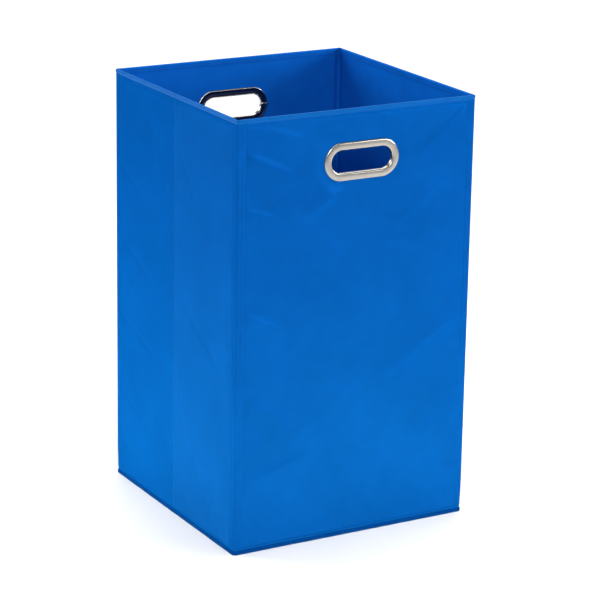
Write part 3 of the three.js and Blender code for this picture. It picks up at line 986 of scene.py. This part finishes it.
TAPE_END = OUT_Y - TAPE_LEG
TAPE_RUNS = {
    "front": cornered_stations(FRONT),
    "back": cornered_stations(BACK),
    "left_rear": straight_stations(LEFT, -TAPE_END, -CREASE_Y - MEETING),
    "left_front": straight_stations(LEFT, -CREASE_Y + MEETING, TAPE_END),
    "right_rear": straight_stations(RIGHT, CREASE_Y + MEETING, TAPE_END),
    "right_front": straight_stations(RIGHT, -TAPE_END, CREASE_Y - MEETING),
}
TAPES = [tape_piece(panel, run, 71 + i) for i, (panel, run) in enumerate(TAPE_RUNS.items())]

# ---- grommets

FACE = 1.6 * MM          # how far the outer ring's face stands off the wall
MOUTH_ROUND, RIM_ROUND = 1.9 * MM, 2.3 * MM
BEAD = 8.6 * MM          # the inner ring's bead of plain bright metal starts this far from the opening's edge; the band inside it is painted dark, a painted dark reflection
RING_STEPS = 64
RING_SHARP_DEG = 50


def ring_piece(name, node, wall, outline, material, bead=0.0):
    """A ring swept round the handle opening. The outline's x runs outwards from the opening's edge.

    Where there is a bead, the outline farther out than that is of the bright metal, and the band nearer
    the opening keeps the darker plate, a painted dark reflection.
    """
    path = oblong_outline(OPENING_W, OPENING_H, RING_STEPS)
    half_straight = (OPENING_W - OPENING_H) / 2
    outs = path - np.copysign((half_straight, 0), path)
    outs /= np.linalg.norm(outs, axis=1)[:, None]
    centre = (HANDLE_S[wall.name], HANDLE_Z)
    s, z = ((path + centre)[:, None] + outline[:, :1] * outs[:, None]).transpose(2, 0, 1)
    rings = wall.place(s, outline[:, 1], z)
    uvs = sweep_uvs(along_lengths(path), along_lengths(outline))
    piece = loft(name, rings, material, uvs, closed=True, sharp_deg=RING_SHARP_DEG)
    if bead:
        recloth(piece, on_outline(outline[:, 0] > bead), METAL)
    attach(piece, wall.name)
    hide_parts(node)


def outer_ring_outline():
    """Barrel, rolled mouth, flat face and rolled rim, with d outwards from the wall."""
    barrel_end = -WALL - 1.2 * MM
    mouth = [
        (MOUTH_ROUND * (1 - math.cos(a)), -0.7 * MM + (FACE + 0.7 * MM) * math.sin(a))
        for a in QUARTER_TURN
    ]
    flat_low, flat_high = MOUTH_ROUND, RING_W - RIM_ROUND
    crown = [
        (flat_low + t * (flat_high - flat_low), FACE + 0.18 * MM * math.sin(math.pi * t))
        for t in (0.2, 0.4, 0.6, 0.8)
    ]
    rim = [
        (flat_high + RIM_ROUND * math.sin(a), 0.1 * MM + (FACE - 0.1 * MM) * math.cos(a))
        for a in QUARTER_TURN
    ]
    back = [(1.5 * MM, 0.08 * MM), (1.5 * MM, barrel_end + 0.3 * MM)]
    back += [(1.2 * MM, barrel_end), (0.2 * MM, barrel_end)]
    return np.array([(0, barrel_end + 0.3 * MM), *mouth, *crown, *rim, *back])


def inner_ring_outline():
    """The ring inside: a raised outer bead, and a hollowed band down to the opening."""
    edge = RING_W / MM
    shape = [
        (edge, 0.1), (1.8, 0.1), (1.75, 0.45), (1.9, 0.8), (2.3, 0.95), (3.4, 0.85), (5.0, 0.7),
        (6.6, 0.72), (7.8, 0.95), (8.4, 1.2), (9.0, 1.35), (9.6, 1.28), (10.1, 0.95), (edge, 0.5),
    ]
    return np.array([(x * MM, -WALL - depth * MM) for x, depth in shape])


def clinch_tabs(wall):
    """The two bent tabs that hold the inner ring, one at each end of the opening."""
    half_length, half_height, rise = 5.6 * MM, 1.5 * MM, 0.8 * MM
    angles = 2 * np.pi * np.arange(12) / 12
    for side, sign in (("left", -1), ("right", 1)):
        middle = HANDLE_S[wall.name] + sign * (OPENING_W / 2 + 6.8 * MM)
        rings = []
        for t in np.linspace(-1, 1, 9):
            taper = (1 - abs(t) ** 6) ** 0.5 * 0.9 + 0.1
            d = -WALL - 0.9 * MM - rise * taper * np.maximum(np.sin(angles), -0.3)
            z = HANDLE_Z + half_height * taper * np.cos(angles)
            rings.append(wall.place(middle + t * half_length, d, z))
        uvs = np.array(rings)[..., [0, 2]]
        piece = loft(f"{wall.name}_grommet_tab_{side}", rings, METAL, uvs)
        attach(piece, wall.name)


for wall in (FRONT, BACK):
    for ring, outline, material, bead in (
        ("outer", outer_ring_outline(), METAL, 0.0),
        # The inner ring's band is painted dark, a painted dark reflection; its bead keeps the bright
        # metal.
        ("inner", inner_ring_outline(), DARK_REFLECTION_METAL, BEAD),
    ):
        node = f"{wall.name}_handle_{ring}_ring"
        ring_piece(f"{wall.name}_grommet_{ring}", node, wall, outline, material, bead)
    clinch_tabs(wall)

# ---- base cloth and floor flap

TURN_STEPS, SIDE_STEPS = 6, 12
SMALLEST_RADIUS = 1e-5


def rounded_outline(half_x, half_y, radius):
    """A rectangle with round corners in plan, with points along its straight sides too."""
    radius = max(min(radius, half_x * 0.98, half_y * 0.98), SMALLEST_RADIUS)
    arcs = []
    for quarter, (sx, sy) in enumerate([(1, 1), (-1, 1), (-1, -1), (1, -1)]):
        centre = np.array((sx * (half_x - radius), sy * (half_y - radius)))
        angles = (quarter + np.arange(TURN_STEPS + 1) / TURN_STEPS) * math.pi / 2
        arcs.append(centre + radius * np.stack([np.cos(angles), np.sin(angles)], axis=1))
    t = np.arange(1, SIDE_STEPS)[:, None] / SIDE_STEPS
    outline = []
    for arc, after in zip(arcs, arcs[1:] + arcs[:1]):
        outline += [*arc, *(arc[-1] * (1 - t) + after[0] * t)]
    return np.array(outline)


def plan_loft(name, levels, centre_y, half_x, half_y, radius, waves):
    """A loft of rounded rectangles of lining. Each level is (inset, z, share of the waves).

    Each wave is (height, size, seed).
    """
    rings, uvs = [], []
    for inset, z, share in levels:
        outline = rounded_outline(half_x - inset, half_y - inset, radius - inset)
        x, y = outline.T
        height = z + share * sum(rise * soft_noise(x, y, size, seed) for rise, size, seed in waves)
        rings.append(np.stack([x, y + centre_y, height], axis=1))
        uvs.append(outline + (0, z))
    return loft(name, rings, LINING, uvs)


BASE_RADIUS, FLAP_RADIUS = 5 * MM, 6 * MM
BASE_WAVES = ((0.5 * MM, 60 * MM, 91), (0.2 * MM, 22 * MM, 92))
FLAP_WAVES = ((0.22 * MM, 70 * MM, 95), (0.08 * MM, 25 * MM, 96))
LOOSE_RUN = 30 * MM      # the base and the sleeve are flat at their edges, and wavy past this


def base_piece():
    """The sewn bottom: a loose floor, and a rim tucked behind the walls' cloth."""
    floor_low, floor_high = 2.1 * MM, 2.7 * MM
    inner = 3.3 * MM
    spread = np.linspace(OUT_Y - 2 * MM, inner + 3 * MM, 12)
    rim = [
        (inner, floor_low + 0.4 * MM), (inner, TAPE_TOP + 0.25 * MM),
        (0.45 * MM, TAPE_TOP + 0.3 * MM), (0.3 * MM, TAPE_TOP + 0.9 * MM),
        (0.32 * MM, FOOT - 0.9 * MM), (1.0 * MM, FOOT - 0.3 * MM),
        (1.05 * MM, FOOT - 0.2 * MM), (1.6 * MM, FOOT - 0.6 * MM),
        (1.6 * MM, TAPE_TOP + 0.9 * MM), (3.9 * MM, TAPE_TOP + 0.8 * MM),
        (3.9 * MM, floor_high + 0.3 * MM),
    ]
    loose = [(i, min(1, (i - inner) / LOOSE_RUN)) for i in spread]
    levels = [(i, floor_low, share) for i, share in loose]
    levels += [(i, z, 0) for i, z in rim]
    levels += [(i + 0.6 * MM, floor_high, share) for i, share in reversed(loose)]
    piece = plan_loft("base_cloth", levels, 0, OUT_X, OUT_Y, BASE_RADIUS, BASE_WAVES)
    size = len(rounded_outline(OUT_X, OUT_Y, BASE_RADIUS))
    seen = range(len(spread) + 1, len(spread) + 7)      # the rim's bands that show from outside
    recloth(piece, lambda i: i // size in seen, SHELL)
    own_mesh(piece)
    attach(piece, "back")
    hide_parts("base_fabric")


def flap_piece():
    """The floor flap's sleeve, with a sewn channel near its edge all round."""
    low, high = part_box("floor_cover")
    half_x, half_y = (high.x - low.x) / 2, (high.y - low.y) / 2
    centre_y = (high.y + low.y) / 2
    spread = np.linspace(half_y - 2 * MM, 9 * MM, 14)
    edge = [(6, 0.0), (4.2, 0.0), (3.4, 0.35), (2.6, 0.0), (1.2, 0.1), (0.4, 0.5), (0.0, 1.3)]
    levels = [(i, low.z, 0) for i in spread]
    levels += [(i * MM, low.z + dz * MM, 0) for i, dz in edge]
    levels += [(i * MM, high.z - dz * MM, 0) for i, dz in reversed(edge)]
    levels += [(i, high.z - 0.25 * MM, min(1, i / LOOSE_RUN)) for i in spread[::-1]]
    sizes = (centre_y, half_x, half_y, FLAP_RADIUS)
    piece = plan_loft("floor_flap_cloth", levels, *sizes, FLAP_WAVES)
    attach(piece, "floor_flap")
    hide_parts("floor_cover")


def hinge_strip_piece():
    """The strip that hangs the flap: down the back lining's foot and onto the flap."""
    low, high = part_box("floor_hinge_strip")
    thick, bend = 0.35 * MM, 1.2 * MM
    turn_y, turn_z = high.y - bend, low.z + bend

    def side(inset):
        """One face of the strip in (y, z), from its top round the bend to its front edge."""
        turn = [
            (turn_y + (bend - inset) * math.cos(a), turn_z - (bend - inset) * math.sin(a))
            for a in np.linspace(0, math.pi / 2, 6)
        ]
        return [(high.y - inset, high.z), *turn, (low.y, low.z + inset)]

    outline = np.array([*side(0), *side(thick)[::-1]])
    stations = np.linspace(low.x, high.x, 40)
    rings = [np.stack([np.full(len(outline), x), *outline.T], axis=1) for x in stations]
    piece = loft("floor_hinge_cloth", rings, LINING, sweep_uvs(stations, along_lengths(outline)))
    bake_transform(piece)
    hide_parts("floor_hinge_strip")


base_piece()
flap_piece()
hinge_strip_piece()

# ---- CAD nodes that stay

for name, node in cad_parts.items():
    if name.endswith("_board"):
        node.data.materials.clear()
        node.data.materials.append(BOARD)

# ---- floor, light and camera


def stage_material():
    n = Nodes("pale_floor")
    grain = n.noise(n.where, 3)
    base = n.ramp(grain, [(0.3, (0.84, 0.84, 0.845)), (0.7, (0.87, 0.87, 0.87))])
    rough = n.scaled(grain, 0.1, 0.8)
    return n.finish(base, rough, n.bump(grain, 0.02, 0.001), Specular_IOR_Level=0.1)


def pale_floor():
    half = 30.0
    mesh = bpy.data.meshes.new("floor")
    corners = [(-half, -half, 0), (half, -half, 0), (half, half, 0), (-half, half, 0)]
    mesh.from_pydata(corners, [], [(0, 1, 2, 3)])
    mesh.materials.append(stage_material())
    floor = bpy.data.objects.new("floor", mesh)
    bpy.context.scene.collection.objects.link(floor)


WORLD_STRENGTH = 0.15
# Soft boxes: name, place, aim, watts and side.
BOXES = (
    ("back_box", (2.0, 3.2, 3.4), (1.9, 3.0, 0), 185, 4.0),
    ("top_box", (-0.2, -0.3, 3.0), (-0.1, -0.2, 0), 26, 1.4),
    ("left_box", (-2.2, -0.3, 1.4), (0, 0, 0.4), 9, 0.8),
    ("rear_left_box", (-1.7, 1.7, 1.5), (-0.1, 0, 0.4), 40, 1.3),
    ("right_box", (2.1, -0.5, 1.25), (0, 0, 0.4), 30, 0.8),
    ("front_high_box", (-0.9, -2.4, 1.7), (0, 0, 0.4), 37, 0.7),
    ("front_box", (1.5, -1.9, 0.9), (0, -0.17, 0.3), 15.5, 0.7),
)
# Low cards that stand for light thrown back by the floor: name, place, aim and watts.
CARDS = (
    ("left_card", (-0.52, 0.05, 0.04), (-0.17, 0, 0.1), 1.65),
    ("front_card", (0.05, -0.5, 0.04), (0, -0.17, 0.1), 1.0),
)
CARD_WIDTH, CARD_HEIGHT = 0.6, 0.08
CARD_COLOR = (1.0, 1.0, 0.6)


def add_light(name, location, target, energy, width, height):
    """A soft box that the camera itself can't see."""
    light = bpy.data.lights.new(name, "AREA")
    light.energy = energy
    light.shape = "RECTANGLE"
    light.size = width
    light.size_y = height
    lamp = bpy.data.objects.new(name, light)
    lamp.location = location
    lamp.rotation_mode = "QUATERNION"
    lamp.visible_camera = False
    lamp.rotation_quaternion = (Vector(target) - Vector(location)).to_track_quat("-Z", "Y")
    bpy.context.scene.collection.objects.link(lamp)
    return lamp


def studio():
    world = bpy.data.worlds.new("studio")
    world.use_nodes = True
    background = world.node_tree.nodes["Background"]
    background.inputs["Color"].default_value = (1, 1, 1, 1)
    background.inputs["Strength"].default_value = WORLD_STRENGTH
    bpy.context.scene.world = world
    bpy.context.scene.view_settings.view_transform = "Standard"
    for name, place, target, energy, size in BOXES:
        add_light(name, place, target, energy, size, size)
    for name, place, target, energy in CARDS:
        card = add_light(name, place, target, energy, CARD_WIDTH, CARD_HEIGHT)
        card.visible_glossy = False
        card.data.color = CARD_COLOR


AZIMUTH, ELEVATION, ROLL = math.radians(-29.77), math.radians(16.78), math.radians(0.99)
DISTANCE = 3.498
ASIDE, ABOVE = 0.0150, -0.01225      # from the basket's middle to the view's middle
LENS_MM, SENSOR_MM = 153.4, 36


def camera():
    lens = bpy.data.cameras.new("camera")
    lens.sensor_width = SENSOR_MM
    lens.lens = LENS_MM
    lens.clip_end = 100
    pose = Matrix.Translation((0, 0, RIM / 2))
    for angle, axis in ((AZIMUTH, "Z"), (math.pi / 2 - ELEVATION, "X"), (ROLL, "Z")):
        pose = pose @ Matrix.Rotation(angle, 4, axis)
    view = bpy.data.objects.new("camera", lens)
    view.matrix_world = pose @ Matrix.Translation((ASIDE, ABOVE, DISTANCE))
    bpy.context.scene.collection.objects.link(view)
    bpy.context.scene.camera = view


pale_floor()
studio()
camera()
